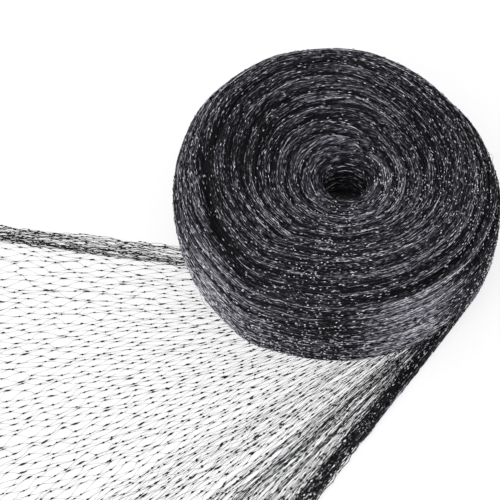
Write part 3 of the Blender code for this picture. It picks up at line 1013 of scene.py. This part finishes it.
def makeLeavingStrands():
    # from the outermost wrap down to the right edge of the loose end
    look = leavingStrands
    rng = np.random.default_rng(51)
    shape = (look["strands"], 1)
    first, last = look["leaves"]
    leaves = np.radians(last - (last - first) * rng.random(shape) ** 1.8)
    radius = rollForm["radius"]
    behind = radius * (np.radians(rng.uniform(*look["start"], shape)) - leaves)
    ahead = rng.uniform(*look["run"], shape)
    travel = -behind + (behind + ahead) * np.linspace(0, 1, look["points"])
    angle = leaves - np.minimum(travel, 0) / radius
    fallen = smoothStep((travel + 0.05) / (rng.uniform(*look["fall"], shape) + 0.05))
    height = rng.uniform(*look["height"], shape) * (1 - fallen)
    height = height + rng.uniform(*look["foot"], shape) * fallen
    height = np.maximum(height + wander(rng, travel, look["heightWaves"]), leastHeight)
    reach = outlineRadius(angle) - np.interp(height, *zip(*rollForm["wallInsets"]))
    under = look["sunk"] * (1 - smoothStep(np.arange(look["points"]) / 8))
    reach = reach + rng.uniform(*look["lift"], shape) - under
    flat = reach[..., None] * np.stack([np.cos(angle), np.sin(angle)], -1)
    heading = np.minimum(leaves + 1.5 * math.pi, math.radians(fanForm["rightHeading"] - 0.5))
    ray = np.stack([np.cos(heading), np.sin(heading)], -1)
    onFloor = smoothStep(travel / 0.03)
    sideways = np.stack([-ray[..., 1], ray[..., 0]], -1)
    flat = flat + ray * np.maximum(travel, 0)[..., None]
    flat = flat + sideways * (wander(rng, travel, look["waves"]) * onFloor)[..., None]
    paths = np.concatenate([flat, height[..., None]], -1)
    strands, run = strandShape(rng, paths, look)
    # painted glints, as knots only where the strands lie on the wall, and a little toward the camera
    shown = paths[:, 4:26] + 0.0006 * np.array([0.6, -0.5, 0.6])
    knots, knotRun = knotsOnStrands(rng, shown, look, 1)
    makeWoundPiece(
        "leaving_strands", [strands, knots], [strandMaterial, paintedGlintMaterial],
        {"run": np.concatenate([run, knotRun])})


def makeStrayHairs():
    # single threads that spring out of the roll
    look = strayHairs
    rng = np.random.default_rng(61)
    shape = (look["count"], 1)
    row = rng.uniform(3, shoulderEnd - 20, shape)
    number = np.arange(look["points"])
    distance = rng.uniform(*look["step"], shape) * number
    angle = rng.uniform(0, fullTurn, shape) + distance / rollForm["radius"]
    rise = rng.uniform(*look["height"], shape) * np.sin(math.pi * number / number[-1])
    rows = row + rowsPerMetre * wander(rng, distance, look["waves"])
    paths = onRoll(angle, rows, rise - look["rooted"])[0] - rollAxis
    strands, run = strandShape(rng, paths, look)
    makeWoundPiece("stray_hairs", [strands], [strandMaterial], {"run": run})


makeLeavingStrands()
makeStrayHairs()
print("loose end laid out")


# Studio: an opal table that is lit from below too, so that the netting casts next to no shadow

studio = {
    "floor": "#7e7e80", "floorGlow": 0.75, "floorSize": 8.0, "floorRough": 0.6,
    "world": "#ffffff", "worldStrength": 1.0,
    "keyPlace": (-0.7, -1.1, 1.5), "keySize": 1.1, "keyPower": 14.0,
}


def makeStudio(look):
    half = look["floorSize"] / 2
    mesh = bpy.data.meshes.new("studio_floor")
    corners = [(-half, -half, 0), (half, -half, 0), (half, half, 0), (-half, half, 0)]
    mesh.from_pydata(corners, [], [(0, 1, 2, 3)])
    floor = addObject("studio_floor", mesh)
    # Opal acrylic, cast with a satin face: light from below comes through it evenly.
    acrylic = newMaterial("satin_opal_acrylic", {
        "Base Color": hexColour(look["floor"]), "Roughness": look["floorRough"],
        "Emission Color": hexColour(look["world"]), "Emission Strength": look["floorGlow"]})[0]
    mesh.materials.append(acrylic)
    world = bpy.data.worlds.new("studio")
    world.use_nodes = True
    background = world.node_tree.nodes["Background"]
    background.inputs["Color"].default_value = hexColour(look["world"])
    background.inputs["Strength"].default_value = look["worldStrength"]
    bpy.context.scene.world = world
    light = bpy.data.lights.new("key_light", "AREA")
    light.size = look["keySize"]
    light.energy = look["keyPower"]
    key = addObject("key_light", light)
    key.location = Vector(rollAxis) + Vector(look["keyPlace"])
    key.rotation_euler = (Vector(rollAxis) - key.location).to_track_quat("-Z", "Y").to_euler()
    # Plain display of the colours, so that the ground is as white as a product photograph's.
    bpy.context.scene.view_settings.view_transform = "Standard"


makeStudio(studio)
print("studio lit")
